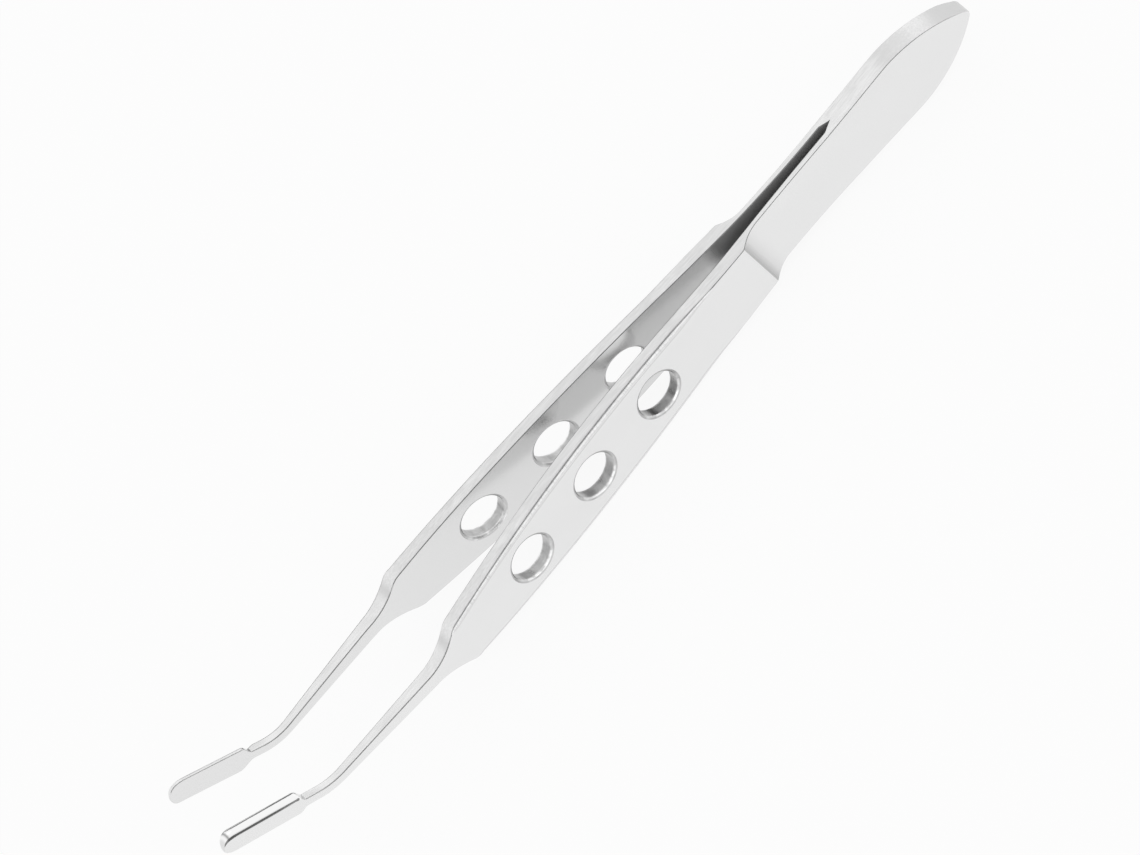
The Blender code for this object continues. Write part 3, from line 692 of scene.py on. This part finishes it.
def hole_columns(curves, skin, numbers, s, distance):
    """One hole: a profile carried round it, from the outer face's grid to the inner face's.

    The profile runs in from a rectangle of the face's own points to the rim, down the broken
    edge and along the drilled wall.
    """
    first = np.searchsorted(s, distance - curves.hole_surround - 1e-6)
    last = np.searchsorted(s, distance + curves.hole_surround - 1e-6)
    rows = np.arange(FACE_ROWS + 1)
    ends = np.arange(first + 1, last)
    station = np.concatenate((
        np.full(len(rows), first), ends, np.full(len(rows), last), ends[::-1],
    ))
    row = np.concatenate((rows, np.full(len(ends), rows[-1]), rows[::-1], np.zeros(len(ends), int)))
    straight = np.concatenate(skin.points)
    radius, chamfer = curves.hole_diameter / 2, curves.hole_chamfer
    faces = (curves.outer_face, curves.inner_face)
    middle = (faces[0](distance) + faces[1](distance)) / 2
    half = (faces[0](distance) - faces[1](distance)) / 2
    lean = curves.handle_outer(distance + radius) - curves.handle_outer(distance - radius)
    tilt = (math.atan(lean / (2 * radius)) + curves.handle_splay) / 2
    cosine, sine = math.cos(tilt), math.sin(tilt)
    perimeters = (numbers[station, row], numbers[station, INNER_START + FACE_ROWS - row])
    outline = straight[perimeters[0]]
    turn = np.arctan2(outline[:, 2], outline[:, 0] - distance + half * sine)

    def bored(reach, sink, face, towards):
        """Points at a radius round the drill's axis, sunk below a face along that axis."""
        along = reach * np.cos(turn)
        depth = towards * half
        for _ in range(HOLE_PASSES):
            on_face = distance + along * cosine - depth * sine
            depth = (face(on_face) - middle - along * sine) / cosine
        depth = depth - towards * sink
        return np.stack((
            distance + along * cosine - depth * sine,
            middle + along * sine + depth * cosine,
            reach * np.sin(turn),
        ), axis=-1)

    reaches = radius + chamfer * CHAMFER_REACH
    sinks = chamfer * CHAMFER_SINK
    profiles = []
    for face, towards, perimeter in zip(faces, (1, -1), perimeters):
        rim = bored(radius + chamfer, 0.0, face, towards)
        outline = straight[perimeter]
        spread = np.linspace(0, 1, HOLE_FACE_STEPS)[1:-1]
        spread = np.append(spread, HOLE_FACE_GUARD)[:, None, None]
        flat = outline * (1 - spread) + rim * spread
        flat[..., 1] = face(flat[..., 0])
        edge = np.stack([bored(r, d, face, towards) for r, d in zip(reaches, sinks)])
        profiles.append((flat, edge))
    inward = np.linspace(0, 1, HOLE_WALL_STEPS)[1:-1, None, None]
    wall = profiles[0][1][-1] * (1 - inward) + profiles[1][1][-1] * inward
    columns = (profiles[0][0], profiles[0][1], wall, profiles[1][1][::-1], profiles[1][0][::-1])
    counts = [len(column) for column in columns]
    # A painted highlight on the broken edge's low side, which the narrow attribute carries to the
    # bored steel
    lit = np.repeat([0.0, 1.0, 0.0, 1.0, 0.0], counts)
    lit[counts[0]:counts[0] + 3] = CHAMFER_BREAK_SHARE
    narrow = lit[:, None] * np.clip(-HOLE_LOW_SIDE * np.sin(turn), 0.0, 1.0)[None]
    columns = np.concatenate(columns)
    # The inner face round a hole takes the inner faces' painted shade
    on_inner_face = np.repeat([0.0, 0.0, 0.0, 0.0, 1.0], counts)[:, None]
    dull = on_inner_face * curves.inner_dull(columns[..., 0])
    inner_numbers = skin.add(columns, narrow, dull)
    grid = np.concatenate((perimeters[0][None], inner_numbers, perimeters[1][None]))
    flat_rows, edge_rows = len(profiles[0][0]), len(profiles[0][1])
    finish = np.full(len(grid) - 1, BORED)
    finish[:flat_rows + 1] = SATIN
    finish[-flat_rows - 1:] = SATIN
    skin.join(grid, finish)
    return first, last


def arm_stations(curves, side):
    """Where an arm's sections stand: closest together where its outline turns."""
    holes = [curves.handle_start + curves.first_hole + i * curves.hole_pitch for i in range(3)]
    stops = [
        (curves.slit_tip, 0.1 * MM),
        (curves.leaf_start, 0.35 * MM),
        (curves.step_start, 0.1 * MM),
        (curves.handle_start + curves.step_length / 3, 0.3 * MM),
    ]
    for hole in holes:
        stops.append((hole - curves.hole_surround, 0.24 * MM))
        stops.append((hole + curves.hole_surround, 0.24 * MM))
    stops += [
        (curves.handle_end - 0.2 * curves.shoulder_length, 0.1 * MM),
        (curves.handle_end + 0.2 * curves.shoulder_length, 0.2 * MM),
        (curves.neck_start, 0.3 * MM),
        (curves.bend_start, 0.15 * MM),
        (curves.bend_end, 0.15 * MM),
        (curves.jaw_start - curves.thinning_lead, 0.05 * MM),
        (curves.jaw_start + curves.upper_shoulder_length, 0.09 * MM),
        (curves.jaw_start + curves.lower_shoulder_length, 0.2 * MM),
    ]
    tip_length = curves.round_jaw_end if side == NEAR else curves.flat_jaw_upper_end
    stops.append((curves.jaw_end[side] - tip_length, 0.0))
    tip = curves.jaw_end[side] - tip_length * np.cos(np.linspace(0, math.pi / 2, 44))
    return np.concatenate((spaced(stops), tip)), holes


def arm_points(curves, s, side):
    """Every section of an arm: a rounded strip that ends in the flat or the half-round jaw."""
    root = ramp(s, curves.slit_tip, curves.weld_length)
    finer = ramp(s, curves.bend_end, curves.jaw_start + curves.upper_shoulder_length)
    inner_radius = curves.plain_edge_radius * root * (1 - (1 - curves.leaf_edge_share) * finer)
    inner, outer = curves.inner_face(s), curves.outer_face(s)
    before = curves.upper_shoulder_length
    upper = curves.jaw_half(s, curves.jaw_start, before)
    ahead = curves.lower_shoulder_lead
    lower = curves.jaw_half(s, curves.jaw_start - ahead, ahead + curves.lower_shoulder_length)
    if side == NEAR:
        rim = curves.edge_radius(s)
        strip = section_points(curves, s, inner, outer, upper, lower, inner_radius, rim)
        swelling = ramp(s, curves.jaw_start, curves.jaw_start + before)[:, None, None]
        flat = outer + curves.round_jaw_flat_step
        return strip * (1 - swelling) + half_round_points(curves, s, flat) * swelling
    thinned = ramp(s, curves.jaw_start - curves.thinning_lead, curves.jaw_start + before)
    outer = outer + (inner + curves.flat_jaw_thickness - outer) * thinned
    end = curves.jaw_end[FAR]
    upper = upper * curves.jaw_end_share(s, end, curves.flat_jaw_upper_end)
    lower = lower * curves.jaw_end_share(s, end, curves.flat_jaw_lower_end)
    rim = curves.edge_radius(s)
    rim = rim + (curves.flat_jaw_rim_radius - curves.plain_edge_radius) * thinned
    return section_points(curves, s, inner, outer, upper, lower, inner_radius, rim, end - s)


def arm_skin(curves, side, name, materials):
    """One arm from the slit's tip to its jaw, with three holes through its handle."""
    s, holes = arm_stations(curves, side)
    points = arm_points(curves, s, side)
    skin = Skin()
    # Painted shade for the inner faces and the step, and on the half-round jaw a painted crease
    # line, tip and dark reflection band
    dull = painted_shade_share(curves, s)
    if side == NEAR:
        in_jaw = (s > curves.jaw_start)[:, None]
        dull[:, FACE_ROWS:] = np.where(in_jaw, round_jaw_painted_shade(curves, s), dull[:, FACE_ROWS:])
    numbers = skin.add(points, narrow_share(), dull)
    keep = np.ones((len(s) - 1, RING), bool)
    for distance in holes:
        first, last = hole_columns(curves, skin, numbers, s, distance)
        keep[first:last, :FACE_ROWS] = False
        keep[first:last, INNER_START:INNER_START + FACE_ROWS] = False
    if side == NEAR:
        in_jaw = s[:-1] > curves.jaw_start + curves.upper_shoulder_length / 2
        convex = np.arange(RING) >= FACE_ROWS
        polished = in_jaw[:, None] & convex[None]
        skin.join(numbers, SATIN, keep & ~polished)
        skin.join(numbers, POLISHED, keep & polished)
    else:
        skin.join(numbers, SATIN, keep)
    return skin.finished(name, lambda p: curves.place(p, side), materials, numbers[0])


def tail_skin(curves, materials):
    """The welded tail, from its rounded point to the slit's tip."""
    nose = curves.tail_nose_length
    arch_rows, nose_rows, body_rows = TAIL_ROWS
    arch = curves.tail_arch_length * (1 - np.cos(np.linspace(0, math.pi / 2, arch_rows)))
    close = nose * (1 - np.cos(np.linspace(0, math.pi / 2, nose_rows)))
    body = np.linspace(curves.tail_arch_length, curves.slit_tip, body_rows)[1:]
    s = np.unique(np.round(np.concatenate((close, arch[arch > 1.1 * nose], body)), 9))
    rounding = np.sqrt(1 - (1 - np.clip(s / nose, 0.0, 1.0)) ** 2)
    half = curves.half_height(s) * rounding
    width = np.full(len(s), curves.tail_half_thickness)
    near_radius, nose_radius = curves.edge_radius(s), curves.tail_nose_radius
    far_radius = nose_radius + (near_radius - nose_radius) * ramp(s, 0.0, curves.tail_nose_fade)
    points = section_points(curves, s, -width, width, half, half, far_radius, near_radius, s)
    skin = Skin()
    numbers = skin.add(points, narrow_share())
    skin.join(numbers)
    return skin.finished("tail_skin", lambda p: curves.place(p, NEAR), materials, numbers[-1])


class Socket:
    """An output socket: Python's operators on it add Math nodes to its tree."""

    def __init__(self, tree, output=None):
        self.tree = tree
        self.output = output

    def node(self, kind, settings=None, inputs=None, output=0):
        """Adds a node, sets its settings, then gives its sockets their values or links."""
        made = self.tree.nodes.new(kind)
        for key, value in (settings or {}).items():
            setattr(made, key, value)
        for key, value in (inputs or {}).items():
            if isinstance(value, Socket):
                self.tree.links.new(value.output, made.inputs[key])
            else:
                made.inputs[key].default_value = value
        return Socket(self.tree, made.outputs[output])

    def math(self, operation, *values, clamp=False):
        settings = {"operation": operation, "use_clamp": clamp}
        return self.node("ShaderNodeMath", settings, dict(enumerate(values)))

    def __add__(self, other):
        return self.math("ADD", self, other)

    def __sub__(self, other):
        return self.math("SUBTRACT", self, other)

    def __mul__(self, other):
        return self.math("MULTIPLY", self, other)

    def __rsub__(self, other):
        return self.math("SUBTRACT", other, self)

    __radd__ = __add__
    __rmul__ = __mul__

    def between(self, start, end):
        """0 below start and 1 above end, with a smooth rise."""
        inputs = {"Value": self, "From Min": start, "From Max": end}
        return self.node("ShaderNodeMapRange", {"interpolation_type": "SMOOTHSTEP"}, inputs)

    def stretched(self, along, across, up):
        """This vector with its parts scaled, so that a pattern has so many cycles a millimetre."""
        inputs = {0: self, 1: (along, across, up)}
        return self.node("ShaderNodeVectorMath", {"operation": "MULTIPLY"}, inputs)

    def noise(self, detail=2.0, roughness=0.5, distortion=0.0):
        inputs = {
            "Vector": self, "Scale": 1.0, "Detail": detail, "Roughness": roughness,
            "Distortion": distortion,
        }
        return self.node("ShaderNodeTexNoise", {"noise_dimensions": "3D"}, inputs)

    def tinted(self, low, high):
        """A colour from low to high by this factor."""
        inputs = {0: self, 6: (*low, 1.0), 7: (*high, 1.0)}
        return self.node("ShaderNodeMix", {"data_type": "RGBA"}, inputs, 2)

    def mixed(self, colour, other):
        """Another socket's colour turned to a given one by this factor."""
        inputs = {0: self, 6: colour, 7: (*other, 1.0)}
        return self.node("ShaderNodeMix", {"data_type": "RGBA"}, inputs, 2)

    def bumped(self):
        """A normal from this height in millimetres."""
        inputs = {"Strength": 1.0, "Distance": MM, "Height": self}
        return self.node("ShaderNodeBump", None, inputs, "Normal")


def steel_material(name, dress):
    """A metal; the dress function works out what varies, by the shader's own socket names."""
    material = bpy.data.materials.get(name)
    if material:
        return material
    material = bpy.data.materials.new(name)
    material.use_nodes = True
    tree = material.node_tree
    shader = tree.nodes["Principled BSDF"]
    shader.inputs["Metallic"].default_value = 1.0
    start = Socket(tree)
    lay = start.node("ShaderNodeAttribute", {"attribute_name": "lay"}, None, "Vector")
    narrow, dull = [
        start.node("ShaderNodeAttribute", {"attribute_name": key}, None, "Fac")
        for key in ("narrow", "dull")
    ]
    for key, value in dress(lay, narrow, dull).items():
        tree.links.new(value.output, shader.inputs[key])
    return material


def satin_material(finish):
    """Satin broad faces, lengthwise ground edges, nicks across the rounded corners, and painted
    shade in the slit, on the inner faces, in the step, on the shoulders and beside the edges.
    """
    def dress(lay, narrow, dull):
        mottle = lay.stretched(*MOTTLE).noise(3.0)
        grain = lay.stretched(*GRAIN).noise(3.0, 0.6)
        speck = lay.stretched(*SPECK).noise(2.0)
        ground = lay.stretched(*GROUND).noise(2.0, 0.6)
        blotch = lay.stretched(*BLOTCH).noise(2.0)
        nick = lay.stretched(*NICK).noise(2.0, 0.6)
        corner = narrow * narrow * (1 - narrow * narrow) * 4
        clean = CLEAN + (mottle - 0.5) * MOTTLE_TINT + (grain - 0.5) * GRAIN_TINT
        clean = clean + (speck - 0.5) * SPECK_TINT
        along = lay.node("ShaderNodeSeparateXYZ", None, {0: lay})
        spots = sum(
            along.between(start, start + DARKER_EDGE_FADE)
            * (1 - along.between(end - DARKER_EDGE_FADE, end)) * depth
            for start, end, depth in DARKER_EDGE_STRETCHES
        )
        # Painted shade on the shoulders' narrow edges
        start, middle, end = SHOULDER_SHADE_SPOT
        shoulder = along.between(start, middle) * (1 - along.between(middle, end))
        worn = (ground - 0.5) * GROUND_TINT + (blotch - 0.5) * BLOTCH_TINT - EDGE_DARKENING - spots
        tint = (clean + worn * narrow).tinted(finish.steel_dark, finish.steel_light)
        # A painted shade line beside each edge, where it meets the broad face; only the nicks mixed
        # in below are real marks
        painted_edge_line = narrow.between(0.03, 0.1) * (1 - narrow.between(0.16, 0.26))
        marks = dull + corner * nick.between(0.52, 0.62) * NICK_DULL + painted_edge_line * EDGE_LINE_PAINTED_SHADE
        marks = marks + narrow * shoulder * SHOULDER_PAINTED_SHADE
        tint = marks.mixed(tint, finish.steel_dull)
        # Past a point the painted shade turns the slit's faces dark and unmetallic
        slit_shade = (dull - SLIT_SHADE_START) * SLIT_SHADE_GROWTH
        slit_shade = slit_shade.math("MAXIMUM", slit_shade, 0.0, clamp=True)
        tint = slit_shade.mixed(tint, finish.scale_dark)
        rough = finish.satin_roughness + (grain - 0.5) * 0.1
        rough = rough + narrow * (finish.ground_roughness - finish.satin_roughness)
        rough = rough + narrow * (ground - 0.5) * 0.16
        rough = rough * (1 - 0.6 * dull)
        height = (grain - 0.5) * (finish.grain_depth / MM) * (1 - narrow) * (1 - dull)
        height = height + narrow * (ground - 0.5) * (finish.ground_depth / MM)
        height = height + corner * (nick - 0.5) * (finish.nick_depth / MM)
        normal = height.bumped()
        return {"Base Color": tint, "Roughness": rough, "Normal": normal, "Metallic": 1 - slit_shade}
    return steel_material("satin_ground_steel", dress)


def bored_material(finish):
    """A drilled wall: rings from the drill, smeared patches, fine lines along the bore, a painted
    rim highlight.
    """
    def dress(lay, narrow, dull):
        rings = lay.stretched(0.4, 12.0, 0.4).noise(2.0, 0.6)
        smear = lay.stretched(0.9, 0.7, 0.9).noise(3.0, 0.55, 0.6)
        lines = lay.stretched(6.0, 0.8, 6.0).noise(2.0)
        patch = lay.stretched(1.5, 1.5, 1.5).noise(3.0)
        # A painted highlight on the rim's low side, from the narrow attribute
        painted_highlight = narrow * (0.4 + patch.between(0.4, 0.6) * 0.6)
        clean = smear.between(0.3, 0.7) * 0.7 + (rings - 0.5) * 0.6 + (lines - 0.5) * 0.4 + 0.15
        tint = clean.tinted(finish.bore_dark, finish.bore_light)
        tint = painted_highlight.mixed(tint, finish.polish_light)
        rough = finish.bore_roughness + (smear - 0.5) * 0.2
        height = (rings - 0.5) * (finish.bore_depth / MM)
        height = height + (lines - 0.5) * (0.5 * finish.bore_depth / MM)
        height = height + narrow * (patch - 0.5) * (2 * finish.bore_depth / MM)
        return {"Base Color": tint, "Roughness": rough, "Normal": height.bumped()}
    return steel_material("bored_steel", dress)


def polished_material(finish):
    """A mirror finish with faint lengthwise polishing lines, and painted shade on the half-round
    jaw.
    """
    def dress(lay, narrow, dull):
        lines = lay.stretched(0.25, 10.0, 10.0).noise(2.0)
        haze = lay.stretched(0.8, 0.8, 0.8).noise(3.0)
        tint = (0.85 + (haze - 0.5) * 0.2).tinted(finish.steel_dark, finish.polish_light)
        # Painted shade: the jaw's crease line, tip and dark reflection band take the bore's dark
        # colour
        tint = dull.mixed(tint, finish.bore_dark)
        rough = finish.polish_roughness + (haze - 0.5) * 0.03 + (lines - 0.5) * 0.03
        height = (lines - 0.5) * (0.12 * finish.grain_depth / MM)
        return {"Base Color": tint, "Roughness": rough, "Normal": height.bumped()}
    return steel_material("mirror_polished_steel", dress)


def steels(context):
    finish = context.scene.forceps_finish
    return [satin_material(finish), bored_material(finish), polished_material(finish)]


class FORCEPS_OT_tail(bpy.types.Operator):
    """Adds the welded tail, a pointed leaf as thick as both spring leaves and their slit"""
    bl_idname = "forceps.add_tail"
    bl_label = "Add welded tail"

    def execute(self, context):
        curves = ForcepsCurves(context.scene.forceps_sizes)
        tail = tail_skin(curves, steels(context)[:1])
        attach(tail, "tail")
        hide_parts("welded_tail")
        return {"FINISHED"}


class FORCEPS_OT_arms(bpy.types.Operator):
    """Adds both arms, each from its spring leaf to its jaw, curving out along the leaf"""
    bl_idname = "forceps.add_arms"
    bl_label = "Add arms"

    def execute(self, context):
        curves = ForcepsCurves(context.scene.forceps_sizes)
        finishes = steels(context)
        for side, body in ((NEAR, "near"), (FAR, "far")):
            wanted = finishes if side == NEAR else finishes[:2]
            arm = arm_skin(curves, side, f"{body}_arm_skin", wanted)
            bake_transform(arm)
            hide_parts(f"{body}_arm")
        return {"FINISHED"}


def panel_object(name, corners, material):
    """A flat four-cornered stage panel."""
    mesh = bpy.data.meshes.new(name)
    mesh.from_pydata(corners, [], [(0, 1, 2, 3)])
    mesh.materials.append(material)
    obj = bpy.data.objects.new(name, mesh)
    bpy.context.scene.collection.objects.link(obj)
    return obj


def mirrored_panel(name, corners, colour):
    """A panel of matt cloth that only the steel mirrors."""
    cloth = bpy.data.materials.new(f"{name}_cloth")
    cloth.use_nodes = True
    shader = cloth.node_tree.nodes["Principled BSDF"]
    shader.inputs["Base Color"].default_value = (*colour, 1.0)
    shader.inputs["Roughness"].default_value = 1.0
    shader.inputs["Specular IOR Level"].default_value = 0.0
    panel = panel_object(name, corners, cloth)
    panel.visible_camera = False
    panel.visible_diffuse = False
    panel.visible_shadow = False


def seen_share(tree):
    """1 for camera, glossy and transmission rays, which see the backdrop, and 0 for all others."""
    start = Socket(tree)
    rays = [
        start.node("ShaderNodeLightPath", None, None, ray)
        for ray in ("Is Camera Ray", "Is Glossy Ray", "Is Transmission Ray")
    ]
    return (rays[0] + rays[1]).math("ADD", rays[0] + rays[1], rays[2], clamp=True)


def floor_material(studio):
    """Matt pale floor that keeps its shadows, lifted towards plain white as it is seen."""
    material = bpy.data.materials.new("studio_floor")
    material.use_nodes = True
    tree = material.node_tree
    shader = tree.nodes["Principled BSDF"]
    shader.inputs["Base Color"].default_value = (*studio.floor_colour, 1.0)
    shader.inputs["Roughness"].default_value = 0.9
    shader.inputs["Specular IOR Level"].default_value = 0.0
    start = Socket(tree)
    camera = start.node("ShaderNodeLightPath", None, None, "Is Camera Ray")
    extra = camera * (studio.floor_white - studio.mirrored_white)
    seen = seen_share(tree) * studio.mirrored_white + extra
    white = seen.node("ShaderNodeEmission", None, {"Color": (1, 1, 1, 1), "Strength": 1.0})
    lit = Socket(tree, shader.outputs["BSDF"])
    mixed = seen.node("ShaderNodeMixShader", None, {0: seen, 1: lit, 2: white})
    tree.links.new(mixed.output, tree.nodes["Material Output"].inputs["Surface"])
    return material


def studio_world(studio):
    """White as it is seen, and dimmer as it lights the floor."""
    world = bpy.data.worlds.new("studio_world")
    world.use_nodes = True
    tree = world.node_tree
    seen = seen_share(tree)
    dim = (studio.sky_level,) * 3
    tint = seen.tinted(dim, (1.0, 1.0, 1.0))
    tree.links.new(tint.output, tree.nodes["Background"].inputs["Color"])
    return world


def softbox(name, place, width, tall, brightness):
    """A rectangular lamp that faces the forceps and adds so much to what they mirror."""
    lamp = bpy.data.lights.new(name, "AREA")
    lamp.shape = "RECTANGLE"
    lamp.size = width
    lamp.size_y = tall
    lamp.energy = brightness * math.pi * width * tall
    obj = bpy.data.objects.new(name, lamp)
    obj.location = place
    obj.rotation_euler = (-Vector(place)).to_track_quat("-Z", "Y").to_euler()
    obj.visible_camera = False
    bpy.context.scene.collection.objects.link(obj)


def studio_camera(studio):
    """A long lens from the picture's side, rolled so that the tips point down to the left."""
    a, e, r = studio.azimuth, studio.elevation, studio.roll
    forward = Vector((math.sin(a) * math.cos(e), math.cos(a) * math.cos(e), -math.sin(e)))
    level_right = Vector((math.cos(a), -math.sin(a), 0.0))
    level_up = level_right.cross(forward)
    right = level_right * math.cos(r) - level_up * math.sin(r)
    up = level_right * math.sin(r) + level_up * math.cos(r)
    middle = Vector((0.0, 0.0, bpy.context.scene.forceps_sizes.handle_height / 2))
    aim = middle - right * studio.aim_right + up * studio.aim_down
    lens = bpy.data.cameras.new("studio_camera")
    lens.lens = lens.sensor_width * studio.distance / studio.frame_width
    lens.clip_end = 100.0
    camera = bpy.data.objects.new("studio_camera", lens)
    turned = Matrix((right, up, -forward)).transposed().to_4x4()
    camera.matrix_world = Matrix.Translation(aim - forward * studio.distance) @ turned
    bpy.context.scene.collection.objects.link(camera)
    bpy.context.scene.camera = camera


class FORCEPS_OT_stage(bpy.types.Operator):
    """Adds the pale floor, the soft studio light and the camera"""
    bl_idname = "forceps.add_stage"
    bl_label = "Add stage"

    def execute(self, context):
        studio = context.scene.forceps_studio
        reach = FLOOR_REACH
        corners = [(-reach, -reach, 0), (reach, -reach, 0), (reach, reach, 0), (-reach, reach, 0)]
        panel_object("studio_floor", corners, floor_material(studio))
        mirrored_panel("studio_flag", FLAG_CORNERS, studio.flag_colour)
        mirrored_panel("studio_card", CARD_CORNERS, studio.card_colour)
        softbox("right_softbox", *SIDE_SOFTBOX, studio.side_level)
        softbox("front_softbox", *FRONT_SOFTBOX, studio.front_level)
        context.scene.world = studio_world(studio)
        context.scene.view_settings.view_transform = "Standard"
        studio_camera(studio)
        return {"FINISHED"}


class FORCEPS_PT_panel(bpy.types.Panel):
    """Lists the forceps' operators and settings in the sidebar"""
    bl_label = "Forceps"
    bl_idname = "FORCEPS_PT_panel"
    bl_space_type = "VIEW_3D"
    bl_region_type = "UI"
    bl_category = "Forceps"

    def draw(self, context):
        for operator in OPERATORS:
            self.layout.operator(operator.bl_idname)
        for group in GROUPS.values():
            box = self.layout.box()
            for key in group[0].__annotations__:
                box.prop(getattr(context.scene, group[1]), key)


OPERATORS = (FORCEPS_OT_tail, FORCEPS_OT_arms, FORCEPS_OT_stage)
GROUPS = {
    "sizes": (ForcepsSizes, "forceps_sizes"),
    "finish": (ForcepsFinish, "forceps_finish"),
    "studio": (StudioSettings, "forceps_studio"),
}


def register():
    for group, attribute in GROUPS.values():
        bpy.utils.register_class(group)
        setattr(bpy.types.Scene, attribute, bpy.props.PointerProperty(type=group))
    for operator in OPERATORS:
        bpy.utils.register_class(operator)
    bpy.utils.register_class(FORCEPS_PT_panel)


def unregister():
    bpy.utils.unregister_class(FORCEPS_PT_panel)
    for operator in reversed(OPERATORS):
        bpy.utils.unregister_class(operator)
    for group, attribute in reversed(list(GROUPS.values())):
        delattr(bpy.types.Scene, attribute)
        bpy.utils.unregister_class(group)


def main():
    """Builds the pieces and the stage."""
    register()
    bpy.ops.forceps.add_stage()
    bpy.ops.forceps.add_tail()
    bpy.ops.forceps.add_arms()


if __name__ == "__main__":
    main()
